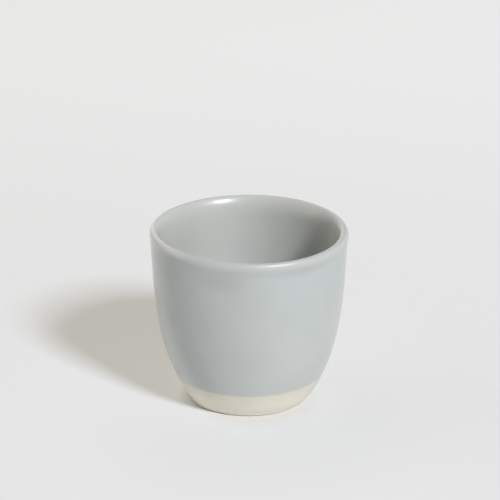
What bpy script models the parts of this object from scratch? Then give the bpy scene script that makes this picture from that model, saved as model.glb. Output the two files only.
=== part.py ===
"""Espresso cup without a handle: a turned clay body, a glaze lining inside it and a glaze coat outside.

The cup stands on its foot ring at z = 0, and its axis is the Z axis. Lengths are in metres.
A profile is a list of (radius, height) points, and a stretch is a list of such points with their normals.
"""

import math

import bpy

MM = 0.001

# Outside form, measured over the glaze
HEIGHT = 58.4 * MM
RIM_DIAMETER = 64.4 * MM  # under the lip, where the cup is widest
FOOT_DIAMETER = 40.1 * MM  # where the line of the wall meets the table
WALL_LEAN = math.radians(2.6)  # of the outside under the lip, from upright
TUCK_POWER = 3.5  # the higher, the nearer to the foot the wall turns in
FOOT_EDGE_RADIUS = 0.9 * MM

# Lip, in four rounds from the outside over the top to the inside. A turn is the direction that
# the surface faces where a round ends: 0 is outwards, and a quarter turn is up.
LIP_OUTER_RADIUS = 4.5 * MM
LIP_CROWN_RADIUS = 1.1 * MM
LIP_SHOULDER_RADIUS = 4.0 * MM
LIP_INNER_RADIUS = 14.0 * MM
OUTER_TURN = math.radians(20)
CROWN_TURN = math.radians(135)
SHOULDER_TURN = math.radians(158)
INNER_TURN = math.radians(175)  # as the inside of the wall faces under the lip

# Clay body
CLAY_WALL_THICKNESS = 3.0 * MM  # measured level, where the line of the wall meets the table
CLAY_FLOOR_THICKNESS = 3.6 * MM
FLOOR_FILLET = 9.0 * MM  # between the inside of the wall and the floor
FOOT_RING_WIDTH = 4.2 * MM
RECESS_DEPTH = 1.4 * MM  # of the turned underside
RECESS_SLOPE = 2.4 * MM  # how far in the recess takes to reach its depth

# Glaze
GLAZE_THICKNESS = 0.4 * MM
FIT_GAP = 0.3 * MM  # between the clay and its glaze, and between the two glazes
GLAZE_LINE_HEIGHT = 9.5 * MM  # lower edge of the outer glaze
GLAZE_PROUD = 0.15 * MM  # how far the outer glaze stands out from the bare clay below it
GLAZE_LAP = 1.0 * MM  # how far the outer glaze reaches down inside, below the rounds of the lip

# Fineness of the turned surfaces
SEGMENTS = 48
WALL_STEPS = 12
BARE_STEPS = 4
ROUND_STEPS = 5
FILLET_STEPS = 6
FOOT_STEPS = 4
RECESS_STEPS = 5
SEARCH_ROUNDS = 60  # in which the search for a level halves its range
MERGE_DISTANCE = 0.01 * MM

# Finishes
CLAY_COLOUR = (0.66, 0.61, 0.51)
CLAY_ROUGHNESS = 0.85
GLAZE_COLOUR = (0.47, 0.50, 0.50)
GLAZE_ROUGHNESS = 0.3

COAT = GLAZE_THICKNESS + FIT_GAP
CROWN_RISE = LIP_CROWN_RADIUS * (1 - math.sin(OUTER_TURN))
OUTER_RISE = LIP_OUTER_RADIUS * (math.sin(OUTER_TURN) + math.sin(WALL_LEAN))
OUTSIDE_TOP = (RIM_DIAMETER / 2, HEIGHT - CROWN_RISE - OUTER_RISE)
FOOT_RADIUS = FOOT_DIAMETER / 2
INSIDE_FOOT_RADIUS = FOOT_RADIUS - CLAY_WALL_THICKNESS - 2 * COAT
INSIDE_LEAN = math.pi - INNER_TURN
FLOOR_HEIGHT = RECESS_DEPTH + CLAY_FLOOR_THICKNESS + COAT


def unit(vector):
    length = math.hypot(*vector)
    return vector[0] / length, vector[1] / length


def angle_of(direction):
    return math.atan2(direction[1], direction[0])


def moved(point, direction, distance):
    return point[0] + direction[0] * distance, point[1] + direction[1] * distance


def spaced(start, end, steps):
    """Evenly spaced values from start to end, both included."""
    return [start + (end - start) * i / steps for i in range(steps + 1)]


def where_level(level_of, level, low, high):
    """The value between low and high at which the rising function level_of reaches the level."""
    for _ in range(SEARCH_ROUNDS):
        middle = (low + high) / 2
        if level_of(middle) < level:
            low = middle
        else:
            high = middle
    return (low + high) / 2


def arc(centre, radius, first, last, steps, bulge=1):
    """A stretch along an arc between two directions, given as angles. Bulge is -1 in a hollow."""
    stretch = []
    for angle in spaced(first, last, steps):
        outward = (math.cos(angle), math.sin(angle))
        normal = (outward[0] * bulge, outward[1] * bulge)
        stretch.append((moved(centre, outward, radius), normal))
    return stretch


def layer(stretch, depth):
    """The profile of the stretch sunk into the wall by a depth."""
    return [moved(point, normal, -depth) for point, normal in stretch]


def side(z, top, lean, foot_radius):
    """Point of one side of the wall at height z, and its slope: straight under the lip, tucked in below."""
    top_radius, top_height = top
    below = 1 - z / top_height
    slope = math.tan(lean)
    tuck = top_radius - slope * top_height - foot_radius
    radius = top_radius - slope * (top_height - z) - tuck * below**TUCK_POWER
    return (radius, z), slope + tuck * TUCK_POWER * below ** (TUCK_POWER - 1) / top_height


def outer_wall(z):
    """Point of the outside of the wall at height z, and its normal, which points into the air."""
    point, slope = side(z, OUTSIDE_TOP, WALL_LEAN, FOOT_RADIUS)
    return point, unit((1, -slope))


def lip():
    """The rounds of the lip, from the inside of the wall over the top to the outside."""
    rounds = (
        (LIP_OUTER_RADIUS, OUTER_TURN),
        (LIP_CROWN_RADIUS, CROWN_TURN),
        (LIP_SHOULDER_RADIUS, SHOULDER_TURN),
        (LIP_INNER_RADIUS, INNER_TURN),
    )
    stretch = [outer_wall(OUTSIDE_TOP[1])]
    for radius, turn in rounds:
        point, normal = stretch[-1]
        stretch += arc(moved(point, normal, -radius), radius, angle_of(normal), turn, ROUND_STEPS)[1:]
    return stretch[::-1]


def inside_top():
    """Where the rounds of the lip run into the inside of the wall."""
    return lip()[0][0]


def inner_wall(z):
    """Point of the inside of the wall at height z, and its normal, which points into the cup."""
    point, slope = side(z, inside_top(), INSIDE_LEAN, INSIDE_FOOT_RADIUS)
    return point, unit((-1, slope))


def inside_start():
    """Height where the floor's fillet meets the inside of the wall."""
    return where_level(
        lambda z: moved(*inner_wall(z), FLOOR_FILLET)[1], FLOOR_HEIGHT + FLOOR_FILLET, 0, inside_top()[1]
    )


def floor():
    """The floor from the axis outwards, and its fillet."""
    point, normal = inner_wall(inside_start())
    centre = moved(point, normal, FLOOR_FILLET)
    wall_side = angle_of((-normal[0], -normal[1]))
    fillet = arc(centre, FLOOR_FILLET, -math.pi / 2, wall_side, FILLET_STEPS, bulge=-1)
    return [((0, FLOOR_HEIGHT), (0, 1))] + fillet


def inside(top):
    """The inside of the wall, from above the fillet up to a height."""
    return [inner_wall(z) for z in spaced(inside_start(), top, WALL_STEPS)][1:]


def outside():
    """The glazed outside of the wall, from below the lip down to the glaze line."""
    return [outer_wall(z) for z in spaced(OUTSIDE_TOP[1], GLAZE_LINE_HEIGHT, WALL_STEPS)][1:]


def bare_band():
    """The bare clay from just under the glaze down the wall and round the edge of the foot."""
    inset = GLAZE_PROUD + FOOT_EDGE_RADIUS
    bottom = where_level(
        lambda z: moved(*outer_wall(z), -inset)[1], FOOT_EDGE_RADIUS, 0, OUTSIDE_TOP[1]
    )
    wall = [outer_wall(z) for z in spaced(GLAZE_LINE_HEIGHT - FIT_GAP, bottom, BARE_STEPS)]
    point, normal = outer_wall(bottom)
    edge = arc(moved(point, normal, -inset), FOOT_EDGE_RADIUS, angle_of(normal), -math.pi / 2, FOOT_STEPS)
    return layer(wall, GLAZE_PROUD) + layer(edge[1:], 0)


def underside(foot_radius):
    """The foot ring and the recess inside it, from the foot's edge to the axis."""
    ring_inside = foot_radius - FOOT_RING_WIDTH
    recess = []
    for share in spaced(0, 1, RECESS_STEPS):
        rise = RECESS_DEPTH * (1 - math.cos(math.pi * share)) / 2
        recess.append((ring_inside - RECESS_SLOPE * share, rise))
    return recess + [(0, RECESS_DEPTH)]


def clay_body_profile():
    glazed = floor() + inside(inside_top()[1])[:-1] + lip() + outside()
    shoulder = layer([outer_wall(GLAZE_LINE_HEIGHT - FIT_GAP)], COAT)
    bare = bare_band()
    return layer(glazed, COAT) + shoulder + bare + underside(bare[-1][0])


def coat_profile(covered):
    """The section of a glaze coat over a stretch, from its surface round to its back."""
    return layer(covered, 0) + layer(covered, GLAZE_THICKNESS)[::-1]


def liner_glaze_profile():
    return coat_profile(floor() + inside(inside_top()[1] - GLAZE_LAP - FIT_GAP))


def outer_glaze_profile():
    section = coat_profile([inner_wall(inside_top()[1] - GLAZE_LAP)] + lip() + outside())
    return section + section[:1]


def material(name, colour, roughness):
    made = bpy.data.materials.new(name)
    made.use_nodes = True
    shader = made.node_tree.nodes["Principled BSDF"]
    shader.inputs["Base Color"].default_value = (*colour, 1)
    shader.inputs["Roughness"].default_value = roughness
    shader.inputs["Metallic"].default_value = 0
    return made


def turned(name, profile, finish, collection):
    """A solid turned round the Z axis from its profile, which runs down the outer side."""
    mesh = bpy.data.meshes.new(name)
    is_ring = profile[0] == profile[-1]
    points = profile[:-1] if is_ring else profile
    edges = [(i, i + 1) for i in range(len(points) - 1)]
    if is_ring:
        edges.append((len(points) - 1, 0))
    mesh.from_pydata([(radius, 0, z) for radius, z in points], edges, [])
    mesh.materials.append(finish)
    piece = bpy.data.objects.new(name, mesh)
    collection.objects.link(piece)
    screw = piece.modifiers.new("turn", "SCREW")
    screw.axis = "Z"
    screw.angle = 2 * math.pi
    screw.steps = SEGMENTS
    screw.render_steps = SEGMENTS
    screw.use_merge_vertices = True
    screw.merge_threshold = MERGE_DISTANCE
    screw.use_smooth_shade = True
    return piece


def main():
    for old in list(bpy.data.objects):
        bpy.data.objects.remove(old)
    cup = bpy.data.collections.new("espresso_cup")
    bpy.context.scene.collection.children.link(cup)
    bare_clay = material("bare_clay", CLAY_COLOUR, CLAY_ROUGHNESS)
    glaze = material("grey_blue_glaze", GLAZE_COLOUR, GLAZE_ROUGHNESS)
    turned("clay_body", clay_body_profile(), bare_clay, cup)
    turned("liner_glaze", liner_glaze_profile(), glaze, cup)
    turned("outer_glaze", outer_glaze_profile(), glaze, cup)


main()
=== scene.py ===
import math

import bmesh
import bpy
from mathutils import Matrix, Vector


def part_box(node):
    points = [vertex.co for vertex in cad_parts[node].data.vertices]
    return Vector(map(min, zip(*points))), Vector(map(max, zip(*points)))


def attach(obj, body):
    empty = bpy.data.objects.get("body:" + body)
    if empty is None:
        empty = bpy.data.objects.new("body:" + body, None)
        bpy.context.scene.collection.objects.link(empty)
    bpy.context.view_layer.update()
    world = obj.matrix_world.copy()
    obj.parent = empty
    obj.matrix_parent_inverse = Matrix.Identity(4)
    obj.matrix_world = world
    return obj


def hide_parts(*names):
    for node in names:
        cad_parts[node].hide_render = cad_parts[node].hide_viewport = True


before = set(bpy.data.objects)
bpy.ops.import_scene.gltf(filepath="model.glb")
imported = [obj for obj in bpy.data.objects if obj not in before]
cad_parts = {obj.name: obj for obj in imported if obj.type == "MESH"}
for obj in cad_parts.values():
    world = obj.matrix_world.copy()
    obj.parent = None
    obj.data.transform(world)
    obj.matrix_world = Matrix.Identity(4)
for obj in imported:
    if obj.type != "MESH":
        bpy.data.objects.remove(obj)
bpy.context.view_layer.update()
print("frame loaded:", ", ".join(sorted(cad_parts)))

mm = 0.001
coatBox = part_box("outer_glaze")
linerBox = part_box("liner_glaze")

# what the hand leaves in a thrown cup: how it departs from a true turn
handWork = {
    "lipLean": (0.073 * mm, -0.02 * mm),  # of the lip, to the right and to the back
    "lipReach": (4.6 * mm, 2.2 * mm),  # how far below the rim that starts and is complete
    "insideShift": -0.19 * mm,  # of the inside of the lip at its left and right, to the right
    "insidePower": 3,  # higher keeps that nearer to the left and right
    "insideReach": (9.0 * mm, 2.0 * mm),  # how far below the rim it starts and is complete
    "insideDepth": (0.9 * mm, 2.1 * mm),  # and how far in from the outside
    "footShift": 0.60 * mm,  # of the foot, to the right of the rim
    "trimShift": -0.45 * mm,  # of its trimmed edge, back to the left
    "trimReach": 5.0 * mm,  # how far up that reaches
    "trimPower": 2,  # higher keeps it nearer to the table
    "bow": -0.12 * mm,  # of the middle of the wall, to the right
    # where the wall stands out: which way and how far around, how high and how tall, and how far out
    "swells": (
        (math.radians(-142), math.radians(24), 3.0 * mm, 9.0 * mm, 0.52 * mm),
        (math.radians(-170), math.radians(35), 20.0 * mm, 7.0 * mm, 0.24 * mm),
    ),
    "swellPower": 4,  # higher keeps the swells nearer to the outside
    "oval": (0.035 * mm, -0.048 * mm),  # of the rim, along the axes and between them
    "ovalPower": 4,  # higher keeps that nearer to the rim
    "rimTilt": -0.18 * mm,  # rise of the rim to the right
    "rimTwist": (0.088 * mm, 0.197 * mm),  # its two highs and two lows
    "rimThirds": (0.016 * mm, -0.038 * mm),  # its three smaller ones
    "rimRoom": (0.126 * mm, 0.45 * mm),  # left for all this beside the true turn and above it
    "lineTilt": 0.2 * mm,  # rise of the lower edge of the glaze to the right
    "lineWaves": ((3, 0.4, 0.084 * mm), (7, 1.9, 0.056 * mm)),  # how many around, their start and height
    "lineRun": 2.5 * mm,  # how far the glaze ran down on the left
    "runReach": math.radians(28),  # to either side
    "lineReach": (3.0 * mm, 2.5 * mm),  # how far from that edge these die away, along the wall and into it
}

# the turned form, measured over the glaze
cupForm = {
    "height": coatBox[1].z - handWork["rimRoom"][1],
    "rimRadius": coatBox[1].x - handWork["rimRoom"][0],
    "footRadius": 20.14 * mm,  # where the line of the wall would meet the table
    "wallLean": math.radians(2.17),  # of the outside under the lip
    "tuckPower": 3.43,  # higher keeps the turn of the wall nearer to the foot
    "lipBulge": 0.18 * mm,  # how far the lip stands out from the wall
    "bulgeReach": (4.6 * mm, 2.2 * mm),  # how far below the rim that starts and is complete
    "insideFootRadius": 15.65 * mm,
    "insideLean": math.radians(5),
    "floorGlaze": 0.4 * mm,  # thickness of the solid's glaze on the floor
    "floorFillet": 9.0 * mm,
    "floorRings": (0, 0.08, 0.25, 0.5, 0.75),  # shares of the radius of the flat floor
    "glazeLine": 9.33 * mm,
    "segments": 240,
    "lipFineness": 400,  # steps in which the two ends of the lip are found
    "searchRounds": 50,  # in which the search for a height halves its range
    "mergeDistance": 0.001 * mm,
    "sharpAngle": math.radians(50),
}
floorHeight = linerBox[0].z + cupForm["floorGlaze"]

# how round the lip is, from the outside over the top to the inside: the way it faces, and its radius there
lipRounds = (
    (-cupForm["wallLean"], 5.0 * mm),
    (math.radians(5), 4.0 * mm),
    (math.radians(15), 2.6 * mm),
    (math.radians(35), 1.5 * mm),
    (math.radians(55), 1.05 * mm),
    (math.radians(122), 1.05 * mm),
    (math.radians(138), 3.4 * mm),
    (math.radians(150), 5.5 * mm),
    (math.radians(160), 9.0 * mm),
    (math.pi - cupForm["insideLean"], 24.0 * mm),
)


def along(start, end, steps):
    return [start + (end - start) * i / steps for i in range(steps + 1)]


def clamped(share):
    return min(1, max(0, share))


# a smooth step up to the rim, and how steep it is
def eased(z, reach):
    start, end = reach
    share = clamped((z - cupForm["height"] + start) / (start - end))
    return share * share * (3 - 2 * share), 6 * share * (1 - share) / (start - end)


def facing(angle):
    return Vector((math.cos(angle), 0, math.sin(angle)))


def lean(normal):
    return math.atan2(normal.z, normal.x)


def lipRadius(angle):
    for (low, near), (high, far) in zip(lipRounds, lipRounds[1:]):
        if angle <= high:
            break
    share = (angle - low) / (high - low)
    return near ** (1 - share) * far**share


# a stretch is a list of points, each with the way that the surface faces there
def lipStretch(steps):
    point = Vector((0, 0, 0))
    stretch = [(point, facing(lipRounds[0][0]))]
    angles = along(lipRounds[0][0], lipRounds[-1][0], steps)
    for first, last in zip(angles, angles[1:]):
        middle = (first + last) / 2
        way = facing(middle + math.pi / 2)
        point = point + way * lipRadius(middle) * (last - first)
        stretch.append((point, facing(last)))
    top = max(point.z for point, _ in stretch)
    widest = max(point.x for point, _ in stretch)
    base = Vector((cupForm["rimRadius"] - widest, 0, cupForm["height"] - top))
    return [(base + point, normal) for point, normal in stretch[::-1]]


fineLip = lipStretch(cupForm["lipFineness"])
insideTop, _ = fineLip[0]
outsideTop, _ = fineLip[-1]


# one side of the wall and its slope: straight under the lip, tucked in towards the foot
def side(z, top, leanAngle, footRadius):
    below = max(0, 1 - z / top.z)
    slope = math.tan(leanAngle)
    power = cupForm["tuckPower"]
    tuck = top.x - slope * top.z - footRadius
    radius = top.x - slope * (top.z - z) - tuck * below**power
    return Vector((radius, 0, z)), slope + tuck * power * below ** (power - 1) / top.z


def outerWall(z):
    point, slope = side(z, outsideTop, cupForm["wallLean"], cupForm["footRadius"])
    share, rate = eased(z, cupForm["bulgeReach"])
    point.x -= cupForm["lipBulge"] * (1 - share)
    return point, Vector((1, 0, -slope - cupForm["lipBulge"] * rate)).normalized()


def innerWall(z):
    point, slope = side(z, insideTop, cupForm["insideLean"], cupForm["insideFootRadius"])
    return point, Vector((-1, 0, slope)).normalized()


def heightWhere(level, goal, top):
    low, high = 0, top
    for _ in range(cupForm["searchRounds"]):
        middle = (low + high) / 2
        if level(middle) < goal:
            low = middle
        else:
            high = middle
    return low


def arc(centre, radius, first, last, steps, bulge=1):
    return [(centre + facing(angle) * radius, facing(angle) * bulge) for angle in along(first, last, steps)]


insideStart = heightWhere(
    lambda z: (innerWall(z)[0] + innerWall(z)[1] * cupForm["floorFillet"]).z,
    floorHeight + cupForm["floorFillet"],
    insideTop.z,
)


def floorStretch(steps):
    point, normal = innerWall(insideStart)
    centre = point + normal * cupForm["floorFillet"]
    fillet = arc(centre, cupForm["floorFillet"], -math.pi / 2, lean(-normal), steps, bulge=-1)
    edge = fillet[0][0]
    flat = [Vector((edge.x * share, 0, edge.z)) for share in cupForm["floorRings"]]
    return [(point, facing(math.pi / 2)) for point in flat] + fillet


def insideStretch(top, steps):
    return [innerWall(z) for z in along(insideStart, top, steps)][1:]


def outsideStretch(bottom, steps):
    return [outerWall(z) for z in along(outsideTop.z, bottom, steps)][1:]


def sunk(stretch, depth):
    return [point - normal * depth for point, normal in stretch]


def around(turn, times=1):
    return Vector((math.cos(times * turn), math.sin(times * turn)))


def rimRise(turn):
    rise = handWork["rimTilt"] * around(turn).x
    rise += around(turn, 2).dot(handWork["rimTwist"])
    return rise + around(turn, 3).dot(handWork["rimThirds"])


# how far a point moves out from the axis
def wallSwell(point, turn, wall):
    once = around(turn)
    swell = once.dot(handWork["lipLean"]) * eased(point.z, handWork["lipReach"])[0]
    start, end = handWork["insideDepth"]
    within = clamped((cupForm["rimRadius"] - point.xy.length - start) / (end - start))
    inside = once.x ** handWork["insidePower"] * handWork["insideShift"]
    swell += inside * within * eased(point.z, handWork["insideReach"])[0]
    nearRim = (point.z / cupForm["height"]) ** handWork["ovalPower"]
    swell += around(turn, 2).dot(handWork["oval"]) * nearRim
    nearOutside = (point.xy.length / wall.x) ** handWork["swellPower"]
    for way, wide, level, tall, out in handWork["swells"]:
        across = ((turn - way + math.pi) % (2 * math.pi) - math.pi) / wide
        up = (point.z - level) / tall
        swell += out * math.exp(-across * across - up * up) * nearOutside
    return swell


# how far a point moves up with the lower edge of the glaze
def lineRise(point, turn, wall):
    down, into = handWork["lineReach"]
    fromLine = (point.z - cupForm["glazeLine"]) / down
    fromRun = (math.pi - abs(turn)) / handWork["runReach"]
    rise = sum(high * math.sin(times * turn + start) for times, start, high in handWork["lineWaves"])
    rise += handWork["lineTilt"] * around(turn).x - handWork["lineRun"] * math.exp(-fromRun * fromRun)
    return rise * math.exp(-fromLine * fromLine) * (1 - clamped((wall.x - point.xy.length) / into))


def handFormed(point):
    share = point.z / cupForm["height"]
    turn = math.atan2(point.y, point.x)
    wall, normal = outerWall(point.z)
    rise = lineRise(point, turn, wall)
    swell = wallSwell(point, turn, wall) - rise * normal.z / normal.x  # so that edge stays on the wall
    out = around(turn) * swell
    shift = handWork["footShift"] * (1 - share) + handWork["bow"] * math.sin(math.pi * share)
    shift += handWork["trimShift"] * max(0, 1 - point.z / handWork["trimReach"]) ** handWork["trimPower"]
    height = max(0, point.z + rimRise(turn) * share * share + rise)
    return Vector((point.x + out.x + shift, point.y + out.y, height))


def spunPiece(name, profile, ring, material):
    bm = bmesh.new()
    verts = [bm.verts.new(point) for point in profile]
    pairs = list(zip(verts, verts[1:]))
    if ring:
        pairs.append((verts[-1], verts[0]))
    edges = [bm.edges.new(pair) for pair in pairs]
    bmesh.ops.spin(
        bm, geom=verts + edges, cent=(0, 0, 0), axis=(0, 0, 1), angle=2 * math.pi,
        steps=cupForm["segments"], use_merge=True,
    )
    bmesh.ops.remove_doubles(bm, verts=bm.verts, dist=cupForm["mergeDistance"])
    for vert in bm.verts:
        vert.co = handFormed(vert.co)
    bmesh.ops.recalc_face_normals(bm, faces=bm.faces)
    mesh = bpy.data.meshes.new(name)
    bm.to_mesh(mesh)
    bm.free()
    mesh.shade_smooth()
    mesh.set_sharp_from_angle(angle=cupForm["sharpAngle"])
    mesh.materials.append(material)
    piece = bpy.data.objects.new(name, mesh)
    bpy.context.collection.objects.link(piece)
    print(name, len(mesh.polygons), "faces")
    return piece


def node(tree, kind, inputs=None, **settings):
    made = tree.nodes.new(kind)
    for key, value in settings.items():
        setattr(made, key, value)
    for key, value in (inputs or {}).items():
        if isinstance(value, bpy.types.NodeSocket):
            tree.links.new(value, made.inputs[key])
        else:
            made.inputs[key].default_value = value
    return made


def ramp(tree, value, low, high, bottom=0.0, top=1.0):
    made = node(
        tree, "ShaderNodeMapRange",
        {"Value": value, "From Min": low, "From Max": high, "To Min": bottom, "To Max": top},
        interpolation_type="SMOOTHSTEP",
    )
    return made.outputs[0]


def noiseAt(tree, place, size, detail=3.0, roughness=0.5):
    made = node(
        tree, "ShaderNodeTexNoise",
        {"Vector": place, "Scale": 1 / size, "Detail": detail, "Roughness": roughness},
    )
    return made.outputs[0]


def calc(tree, operation, a, b):
    return node(tree, "ShaderNodeMath", {0: a, 1: b}, operation=operation).outputs[0]


def vector(tree, operation, a, b=(0, 0, 0)):
    made = node(tree, "ShaderNodeVectorMath", {0: a, 1: b}, operation=operation)
    isNumber = operation in ("DISTANCE", "DOT_PRODUCT")
    return made.outputs["Value" if isNumber else "Vector"]


def mixColour(tree, factor, a, b, blend="MIX"):
    # sockets 6 and 7 take the colours, and output 2 gives the mixed one
    made = node(tree, "ShaderNodeMix", {0: factor, 6: a, 7: b}, data_type="RGBA", blend_type=blend)
    return made.outputs[2]


patchEnd = 1.3  # how many times its reach from its middle a patch of another shade is gone


def patched(tree, colour, place, paintedPatches):
    for middle, reach, shade in paintedPatches:
        offset = vector(tree, "DIVIDE", vector(tree, "SUBTRACT", place, middle), reach)
        patch = ramp(tree, vector(tree, "DISTANCE", offset, (0, 0, 0)), 0.0, patchEnd, shade, 1.0)
        colour = mixColour(tree, 1.0, colour, patch, "MULTIPLY")
    return colour


def bumpy(tree, shader, height, strength, depth):
    bump = node(tree, "ShaderNodeBump", {"Height": height, "Strength": strength, "Distance": depth})
    tree.links.new(bump.outputs[0], shader.inputs["Normal"])


def newMaterial(name):
    material = bpy.data.materials.new(name)
    material.use_nodes = True
    tree = material.node_tree
    place = node(tree, "ShaderNodeTexCoord").outputs["Object"]
    return material, tree, tree.nodes["Principled BSDF"], place


# satin glaze, a grey with a breath of blue-green
glazeLook = {
    "outwards": (-0.3, 0.3),  # how far a face turns out where it counts as inside and as outside
    "coatLow": (0.466, 0.487, 0.478, 1),  # outside, near the foot
    "coatHigh": (0.437, 0.457, 0.452, 1),  # outside, under the lip
    "coatReach": (13 * mm, 50 * mm),  # heights between which the one goes over into the other
    "linerLow": (0.482, 0.498, 0.481, 1),  # the same inside
    "linerHigh": (0.510, 0.518, 0.495, 1),
    "linerReach": (36 * mm, 53 * mm),
    "mottleSize": 14 * mm,
    "mottleDark": (0.35, 0.75),  # mottle where it starts to lie thick and where it is thickest
    "pooled": 0.965,  # how dark it is there
    "thin": (0.468, 0.477, 0.458, 1),  # where it breaks over the rim
    "thinReach": (3.0 * mm, 0.4 * mm),  # how far below the rim that starts and is complete
    "thinShare": 0.8,  # how much of it shows
    "paintedLipLight": (0.640, 0.650, 0.625, 1),  # painted light on the left of the rim
    "paintedLipLightReach": (-29 * mm, -18 * mm),  # how far to the right that is complete and ends
    "edge": (0.540, 0.528, 0.475, 1),  # where it runs out over the clay
    "edgeReach": (0.325 * mm, 1.625 * mm),  # how far above its line that starts to fade and is gone
    "edgeShare": 0.9,  # how much of it shows
    "edgeFray": 0.65 * mm,  # how far the grain frays it
    # painted shade under the lip and where less light falls, and painted light in the last: the middle, how
    # far it reaches each way, and the shade
    "paintedShadeAndLight": (
        ((-8 * mm, -31 * mm, 51.4 * mm), (9.5 * mm, 9.5 * mm, 4.4 * mm), 0.910),
        ((18 * mm, -26 * mm, 54.0 * mm), (11 * mm, 9 * mm, 2.2 * mm), 0.920),
        ((-11 * mm, -28 * mm, 29 * mm), (17 * mm, 17 * mm, 17 * mm), 0.962),
        ((-21 * mm, 17 * mm, 44.5 * mm), (15 * mm, 15 * mm, 15 * mm), 0.885),
        ((26 * mm, 9 * mm, 49 * mm), (9 * mm, 16 * mm, 9 * mm), 0.87),
        ((16.5 * mm, 21 * mm, 37 * mm), (8 * mm, 8 * mm, 7.5 * mm), 1.16),
    ),
    "roughness": (0.34, 0.41),
    "mottleRough": (0.3, 0.7),  # mottle where it is smoothest and roughest
    "smoother": (0.93, 0.82),  # how much of that roughness it has inside, and inside the lip
    "smootherReach": (6.0 * mm, 1.0 * mm),  # how far below the rim the one ends and the other is complete
    "gloss": 0.7,  # that shows along the surface
    "glossFacing": (0.40, 0.85),  # how far a face turns from the eye where that starts and is complete
    "glossRoughness": 0.12,
    "refraction": 1.5,
    "grainSize": 0.9 * mm,
    "grainBump": (0.12, 0.05 * mm),  # strength and depth
}


def belowRim(reach):
    return [cupForm["height"] - depth for depth in reach]


def glazeMaterial():
    material, tree, shader, place = newMaterial("greyGlaze")
    axes = node(tree, "ShaderNodeSeparateXYZ", {"Vector": place}).outputs
    height = axes["Z"]
    normal = node(tree, "ShaderNodeTexCoord").outputs["Normal"]
    level = vector(tree, "MULTIPLY", place, (1, 1, 0))
    outwards = vector(tree, "DOT_PRODUCT", normal, vector(tree, "NORMALIZE", level))
    isOutside = ramp(tree, outwards, *glazeLook["outwards"])
    mottle = noiseAt(tree, place, glazeLook["mottleSize"], detail=4)
    grain = noiseAt(tree, place, glazeLook["grainSize"], detail=2)

    # the coats outside and inside
    high = ramp(tree, height, *glazeLook["coatReach"])
    outside = mixColour(tree, high, glazeLook["coatLow"], glazeLook["coatHigh"])
    high = ramp(tree, height, *glazeLook["linerReach"])
    inside = mixColour(tree, high, glazeLook["linerLow"], glazeLook["linerHigh"])
    colour = mixColour(tree, isOutside, inside, outside)
    pooled = ramp(tree, mottle, *glazeLook["mottleDark"], 1.0, glazeLook["pooled"])
    colour = mixColour(tree, 1.0, colour, pooled, "MULTIPLY")
    # painted shade in patches, and painted light in the last of them
    colour = patched(tree, colour, place, glazeLook["paintedShadeAndLight"])

    # thin on the lip and at the lower edge
    thin = ramp(tree, height, *belowRim(glazeLook["thinReach"]), 0.0, glazeLook["thinShare"])
    lip = calc(tree, "MULTIPLY", isOutside, thin)
    colour = mixColour(tree, lip, colour, glazeLook["thin"])
    # painted light on the left of the lip
    leftLipLight = ramp(tree, axes["X"], *glazeLook["paintedLipLightReach"], 1.0, 0.0)
    colour = mixColour(tree, calc(tree, "MULTIPLY", lip, leftLipLight), colour, glazeLook["paintedLipLight"])
    frayed = calc(tree, "ADD", height, calc(tree, "MULTIPLY", grain, glazeLook["edgeFray"]))
    edgeStart, edgeEnd = (cupForm["glazeLine"] + up for up in glazeLook["edgeReach"])
    fringe = ramp(tree, frayed, edgeStart, edgeEnd, glazeLook["edgeShare"], 0.0)
    colour = mixColour(tree, calc(tree, "MULTIPLY", fringe, isOutside), colour, glazeLook["edge"])
    tree.links.new(colour, shader.inputs["Base Color"])

    # satin, smoother inside, with gloss along the surface
    roughness = ramp(tree, mottle, *glazeLook["mottleRough"], *glazeLook["roughness"])
    smoother = ramp(tree, height, *belowRim(glazeLook["smootherReach"]), *glazeLook["smoother"])
    smoother = ramp(tree, isOutside, 0.0, 1.0, smoother, 1.0)
    tree.links.new(calc(tree, "MULTIPLY", roughness, smoother), shader.inputs["Roughness"])
    edgeOn = node(tree, "ShaderNodeLayerWeight").outputs["Facing"]
    gloss = ramp(tree, edgeOn, *glazeLook["glossFacing"], 0.0, glazeLook["gloss"])
    tree.links.new(gloss, shader.inputs["Coat Weight"])
    shader.inputs["Coat Roughness"].default_value = glazeLook["glossRoughness"]
    shader.inputs["IOR"].default_value = glazeLook["refraction"]
    bumpy(tree, shader, grain, *glazeLook["grainBump"])
    return material


# bare stoneware, fired cream
clayLook = {
    "colour": (0.652, 0.616, 0.536, 1),
    "pale": (0.679, 0.648, 0.576, 1),
    "cloudSize": 9 * mm,
    "cloudPale": (0.35, 0.7),  # cloud where it starts to be pale and where it is palest
    "grog": (0.420, 0.360, 0.280, 1),
    "grogSize": 0.7 * mm,
    "grogSpeck": (0.70, 0.80),  # speckle where a grain of it starts to show and where it shows best
    "grogShare": 0.5,  # how much of it shows there
    "byGlaze": 0.955,  # how dark it is next to the glaze
    "byGlazeReach": (3.5 * mm, 9.0 * mm),  # heights where that starts and is complete
    # painted light on the shaded front left of the clay: the middle, how far it reaches each way, and how
    # pale it is
    "paintedPatches": (
        ((-10 * mm, -18 * mm, 5 * mm), (13 * mm, 13 * mm, 11 * mm), 1.12),
    ),
    "streak": 0.91,  # how dark the turning streaks are
    "streakSize": 1.0 * mm,
    "streakStretch": (0.05, 0.05, 1),  # they run round the foot
    "streakDark": (0.40, 0.60),  # noise where they are darkest and where they end
    "streakReach": (2.0 * mm, 4.5 * mm),  # up to where they are strong, and from where weak
    "streakWeak": 0.2,
    "grainSize": 0.5 * mm,
    "grainBump": (0.35, 0.06 * mm),  # strength and depth
    "grainRough": (0.3, 0.7),  # grain where it is smoothest and roughest
    "roughness": (0.75, 0.92),
}


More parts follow.
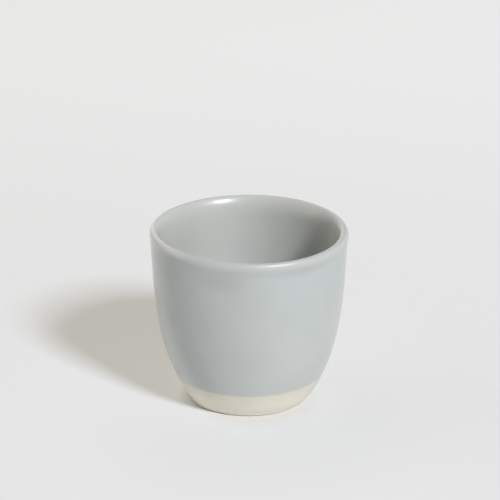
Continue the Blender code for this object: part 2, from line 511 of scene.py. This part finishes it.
def clayMaterial():
    material, tree, shader, place = newMaterial("bareClay")
    height = node(tree, "ShaderNodeSeparateXYZ", {"Vector": place}).outputs["Z"]
    cloud = noiseAt(tree, place, clayLook["cloudSize"], detail=4)
    grain = noiseAt(tree, place, clayLook["grainSize"], detail=4, roughness=0.65)
    speck = noiseAt(tree, place, clayLook["grogSize"], detail=1)
    colour = mixColour(tree, ramp(tree, cloud, *clayLook["cloudPale"]), clayLook["colour"], clayLook["pale"])
    grog = ramp(tree, speck, *clayLook["grogSpeck"], 0.0, clayLook["grogShare"])
    colour = mixColour(tree, grog, colour, clayLook["grog"])
    stain = ramp(tree, height, *clayLook["byGlazeReach"], 1.0, clayLook["byGlaze"])
    colour = mixColour(tree, 1.0, colour, stain, "MULTIPLY")
    # painted light on the shaded side of the bare clay
    colour = patched(tree, colour, place, clayLook["paintedPatches"])
    stretched = vector(tree, "MULTIPLY", place, clayLook["streakStretch"])
    streak = noiseAt(tree, stretched, clayLook["streakSize"])
    streak = ramp(tree, streak, *clayLook["streakDark"], clayLook["streak"], 1.0)
    nearEdge = ramp(tree, height, *clayLook["streakReach"], 1.0, clayLook["streakWeak"])
    colour = mixColour(tree, nearEdge, colour, streak, "MULTIPLY")
    tree.links.new(colour, shader.inputs["Base Color"])
    roughness = ramp(tree, grain, *clayLook["grainRough"], *clayLook["roughness"])
    tree.links.new(roughness, shader.inputs["Roughness"])
    bumpy(tree, shader, grain, *clayLook["grainBump"])
    return material


# the two coats of glaze, with the steps of their front and back
coat = {
    "thickness": 0.38 * mm,
    "clayDepth": 0.40 * mm,  # of the clay under the glaze
    "bareDepth": 0.06 * mm,  # of the bare clay behind the line of the wall
    "bareFade": 4.0 * mm,  # height over which the one goes over into the other
    "bond": 0.02 * mm,  # between the back of the outer coat and the clay
    "backStart": 0.2 * mm,  # how far above its lower edge that back begins
    "lap": 1.0 * mm,  # how far the outer coat goes down inside, below the lip
    "lapSteps": 3,
    "lipSteps": (48, 24),
    "wallSteps": (70, 30),
    "edgeRound": 0.5 * mm,
    "edgeSteps": 6,
    "linerFloorSteps": (14, 10),
    "linerWallSteps": (40, 24),
}


def coatDepth(z):
    share = clamped((z - cupForm["glazeLine"]) / coat["bareFade"])
    return coat["bareDepth"] + (coat["clayDepth"] - coat["bareDepth"]) * share


def outerGlazeProfile():
    line = cupForm["glazeLine"]
    frontLip, backLip = (lipStretch(steps) for steps in coat["lipSteps"])
    frontSteps, backSteps = coat["wallSteps"]
    lap = [innerWall(z) for z in along(insideTop.z - coat["lap"], insideTop.z, coat["lapSteps"])][:-1]
    front = sunk(lap + frontLip + outsideStretch(line + coat["edgeRound"], frontSteps), 0)
    edge = []
    for turn in along(0, math.pi / 2, coat["edgeSteps"])[1:]:
        point, normal = outerWall(line + coat["edgeRound"] * (1 - math.sin(turn)))
        edge.append(point - normal * (coatDepth(line) - coat["bond"]) * (1 - math.cos(turn)))
    back = []
    for z in along(line + coat["backStart"], outsideTop.z, backSteps)[:-1]:
        point, normal = outerWall(z)
        back.append(point - normal * (coatDepth(z) - coat["bond"]))
    back += sunk((lap + backLip)[::-1], coat["thickness"])
    return front + edge + back


def linerGlazeProfile():
    top = insideTop.z - coat["lap"]
    frontFloor, backFloor = (floorStretch(steps) for steps in coat["linerFloorSteps"])
    frontWall, backWall = (insideStretch(top, steps) for steps in coat["linerWallSteps"])
    return sunk(frontFloor + frontWall, 0) + sunk(backFloor + backWall, coat["thickness"])[::-1]


# the clay under and below the glaze
foot = {
    "edgeRadius": 1.5 * mm,
    "ringWidth": 4.4 * mm,
    "recessDepth": 1.4 * mm,
    "recessSlope": 2.4 * mm,
    # pitch and depth of the turning lines
    "turnings": ((1.15 * mm, 0.016 * mm), (0.71 * mm, 0.010 * mm), (2.9 * mm, 0.012 * mm)),
    "edgeLines": (1.30 * mm, 0.050 * mm),  # the same of the lines next to the edge
    "edgeLineReach": 3.8 * mm,  # how far up these die away
    "rings": (2.6 * mm, 0.09 * mm),  # the same of the broader rings under the foot
    "floorSteps": 12,
    "insideSteps": 28,
    "lipSteps": 24,
    "outsideSteps": 24,
    "fadeSteps": 6,
    "bandSteps": 96,
    "edgeSteps": 24,
    "recessSteps": 10,
    "ringSteps": 60,
}


def turned(distance, pitch, depth):
    return depth * (1 - math.cos(2 * math.pi * distance / pitch)) / 2


def glazedClay():
    line = cupForm["glazeLine"]
    fade = line + coat["bareFade"]
    inside = floorStretch(foot["floorSteps"]) + insideStretch(insideTop.z, foot["insideSteps"])[:-1]
    points = sunk(inside + lipStretch(foot["lipSteps"]), coat["clayDepth"])
    for z in along(outsideTop.z, fade, foot["outsideSteps"])[1:] + along(fade, line, foot["fadeSteps"])[1:]:
        point, normal = outerWall(z)
        points.append(point - normal * coatDepth(z))
    return points


def bareBand():
    inset = coat["bareDepth"] + foot["edgeRadius"]
    bottom = heightWhere(
        lambda z: (outerWall(z)[0] - outerWall(z)[1] * inset).z, foot["edgeRadius"], outsideTop.z
    )
    points = []
    for z in along(cupForm["glazeLine"], bottom, foot["bandSteps"])[1:]:
        point, normal = outerWall(z)
        lines = sum(turned(z - bottom, pitch, depth) for pitch, depth in foot["turnings"])
        lines += turned(z - bottom, *foot["edgeLines"]) * max(0, 1 - (z - bottom) / foot["edgeLineReach"])
        points.append(point - normal * (coat["bareDepth"] + lines))
    point, normal = outerWall(bottom)
    edge = arc(point - normal * inset, foot["edgeRadius"], lean(normal), -math.pi / 2, foot["edgeSteps"])
    length = foot["edgeRadius"] * (lean(normal) + math.pi / 2)
    for share, (point, normal) in list(zip(along(0, 1, foot["edgeSteps"]), edge))[1:]:
        points.append(point - normal * turned(length * share, *foot["edgeLines"]) * (1 - share))
    return points


def underside(ringOutside):
    ringInside = ringOutside - foot["ringWidth"]
    points = []
    for share in along(0, 1, foot["recessSteps"]):
        rise = foot["recessDepth"] * (1 - math.cos(math.pi * share)) / 2
        points.append(Vector((ringInside - foot["recessSlope"] * share, 0, rise)))
    for radius in along(points[-1].x, 0, foot["ringSteps"])[1:]:
        points.append(Vector((radius, 0, foot["recessDepth"] + turned(radius, *foot["rings"]))))
    return points


def clayProfile():
    band = bareBand()
    return glazedClay() + band + underside(band[-1].x)


glaze = glazeMaterial()
clay = clayMaterial()
print("glaze and clay mixed")

clayBody = spunPiece("clayBody", clayProfile(), False, clay)
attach(clayBody, "root")
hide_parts("clay_body")

linerGlaze = spunPiece("linerGlaze", linerGlazeProfile(), False, glaze)
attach(linerGlaze, "root")
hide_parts("liner_glaze")

outerGlaze = spunPiece("outerGlaze", outerGlazeProfile(), True, glaze)
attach(outerGlaze, "root")
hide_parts("outer_glaze")

# pale floor that runs out of the picture on all sides, with its shadow lifted as in the photograph
floorLook = {
    "size": 12.0,
    "colour": (0.88, 0.88, 0.88, 1),  # as it lights the cup
    "seenColour": (0.80, 0.85, 0.965, 1),  # as the camera sees it, cool so that its shadow is warm
    "nearColour": (0.724, 0.716, 0.700, 1),  # the same close to the foot, where it has no glow, darker as painted shade by the foot
    "roughness": 0.9,
    "lift": 0.53,  # share of the floor's own glow in what the camera sees
    "glow": (0.857, 0.815, 0.721, 1),
    "farGlow": (0.990, 0.950, 0.861, 1),
    "farReach": (0.03, 0.45),  # where that starts and is complete, behind the cup
    "contactSpot": (1.5 * mm, -6 * mm, 0),
    "contact": (16 * mm, 26.5 * mm),  # how far from that spot the glow starts and is complete
    "shade": 0.915,  # of the floor in front of the cup
    "shadeSpot": (0, -27 * mm, 0),
    "shadeReach": (0.0, 72 * mm),  # how far from that spot it starts to lift and is gone
}


def paleFloor():
    material, tree, shader, place = newMaterial("paleFloor")
    depth = node(tree, "ShaderNodeSeparateXYZ", {"Vector": place}).outputs["Y"]
    away = ramp(tree, depth, *floorLook["farReach"])
    path = node(tree, "ShaderNodeLightPath").outputs
    seen = calc(tree, "MAXIMUM", path["Is Camera Ray"], path["Is Glossy Ray"])
    seen = calc(tree, "MAXIMUM", seen, path["Is Transmission Ray"])
    clear = ramp(tree, vector(tree, "DISTANCE", place, floorLook["contactSpot"]), *floorLook["contact"])
    fromSpot = vector(tree, "DISTANCE", place, floorLook["shadeSpot"])
    shade = ramp(tree, fromSpot, *floorLook["shadeReach"], floorLook["shade"], 1.0)
    shown = mixColour(tree, clear, floorLook["nearColour"], floorLook["seenColour"])
    shown = mixColour(tree, 1.0, shown, shade, "MULTIPLY")
    colour = mixColour(tree, seen, floorLook["colour"], shown)
    tree.links.new(colour, shader.inputs["Base Color"])
    shader.inputs["Roughness"].default_value = floorLook["roughness"]
    shader.inputs["Specular IOR Level"].default_value = 0.0
    glow = node(
        tree, "ShaderNodeEmission",
        {"Color": mixColour(tree, away, floorLook["glow"], floorLook["farGlow"]), "Strength": shade},
    )
    lift = calc(tree, "MULTIPLY", seen, calc(tree, "MULTIPLY", clear, floorLook["lift"]))
    mix = node(tree, "ShaderNodeMixShader", {0: lift, 1: shader.outputs[0], 2: glow.outputs[0]})
    tree.links.new(mix.outputs[0], tree.nodes["Material Output"].inputs["Surface"])
    bm = bmesh.new()
    bmesh.ops.create_grid(bm, x_segments=1, y_segments=1, size=floorLook["size"] / 2)
    mesh = bpy.data.meshes.new("paleFloor")
    bm.to_mesh(mesh)
    bm.free()
    mesh.materials.append(material)
    floor = bpy.data.objects.new("paleFloor", mesh)
    bpy.context.collection.objects.link(floor)


paleFloor()
print("floor laid")

# one soft lamp high on the right in front, a wide soft fill from the left and a pale backdrop
lights = {
    "lampTurn": math.radians(38),  # to the right of the camera
    "lampHeight": math.radians(39.8),
    "lampDistance": 6.0,
    "lampSize": (1.02, 1.30),  # across and upright
    "lampPower": 416,
    "lampColour": (0.985, 1.0, 1.015),
    "fillTowards": (-0.977, 0.212, 0.020),  # to the left, a little behind
    "fillSpread": 4.2,  # higher is narrower
    "fillStrength": 2.22,
    "fillColour": (1.03, 1.0, 0.92, 1),
    "backdrop": (0.80, 0.80, 0.79, 1),
    "backdropStrength": 1.0,
    "backdropFrom": (-0.1, 0.4),  # how far to the back a reflection starts to show it and shows it in full
    "panelTowards": (-0.372, 0.922, 0.100),  # the brighter part of the backdrop
    "panelSpread": 12.0,
    "panelStrength": 1.0,
}


def softLamp():
    data = bpy.data.lights.new("softLamp", "AREA")
    data.shape = "RECTANGLE"
    data.size, data.size_y = lights["lampSize"]
    data.energy = lights["lampPower"]
    data.color = lights["lampColour"]
    lamp = bpy.data.objects.new("softLamp", data)
    bpy.context.collection.objects.link(lamp)
    flat = math.cos(lights["lampHeight"])
    direction = Vector((
        flat * math.sin(lights["lampTurn"]),
        -flat * math.cos(lights["lampTurn"]),
        math.sin(lights["lampHeight"]),
    ))
    target = Vector((0, 0, cupForm["height"] / 2))
    lamp.location = target + direction * lights["lampDistance"]
    lamp.rotation_euler = direction.to_track_quat("Z", "Y").to_euler()


def fillLight():
    world = bpy.data.worlds.new("studio")
    bpy.context.scene.world = world
    world.use_nodes = True
    tree = world.node_tree
    tree.nodes.clear()
    path = node(tree, "ShaderNodeLightPath").outputs
    way = node(tree, "ShaderNodeTexCoord").outputs["Generated"]

    def lobe(towards, spread, strength):
        share = calc(tree, "MAXIMUM", vector(tree, "DOT_PRODUCT", way, towards), 0.0)
        return calc(tree, "MULTIPLY", calc(tree, "POWER", share, spread), strength)

    left = lobe(lights["fillTowards"], lights["fillSpread"], lights["fillStrength"])
    fill = node(tree, "ShaderNodeBackground", {"Color": lights["fillColour"], "Strength": left})
    depth = node(tree, "ShaderNodeSeparateXYZ", {"Vector": way}).outputs["Y"]
    behind = ramp(tree, depth, *lights["backdropFrom"])
    seen = calc(tree, "MAXIMUM", path["Is Camera Ray"], calc(tree, "MULTIPLY", path["Is Glossy Ray"], behind))
    panel = lobe(lights["panelTowards"], lights["panelSpread"], lights["panelStrength"])
    strength = calc(tree, "ADD", panel, lights["backdropStrength"])
    backdrop = node(tree, "ShaderNodeBackground", {"Color": lights["backdrop"], "Strength": strength})
    mix = node(tree, "ShaderNodeMixShader", {0: seen, 1: fill.outputs[0], 2: backdrop.outputs[0]})
    node(tree, "ShaderNodeOutputWorld", {"Surface": mix.outputs[0]})


softLamp()
fillLight()
print("lights set")

# the photograph's view
view = {
    "height": math.radians(23.444),  # of the camera above the table, seen from the pivot
    "distance": 670.35 * mm,
    "pivot": (0, 0, 28.8 * mm),
    "lens": 147.1,
    "sensor": 36,
    "aim": (0.381 * mm, 0, 50.16 * mm),
    "roll": 0.0047,
}


def photoCamera():
    data = bpy.data.cameras.new("camera")
    data.sensor_width = view["sensor"]
    data.lens = view["lens"]
    camera = bpy.data.objects.new("camera", data)
    bpy.context.collection.objects.link(camera)
    back = Vector((0, -math.cos(view["height"]), math.sin(view["height"])))
    camera.location = Vector(view["pivot"]) + back * view["distance"]
    look = Vector(view["aim"]) - camera.location
    camera.rotation_euler = look.to_track_quat("-Z", "Y").to_euler()
    camera.rotation_euler.rotate_axis("Z", view["roll"])
    bpy.context.scene.camera = camera


photoCamera()
bpy.context.scene.view_settings.view_transform = "Standard"

print("scene ready")
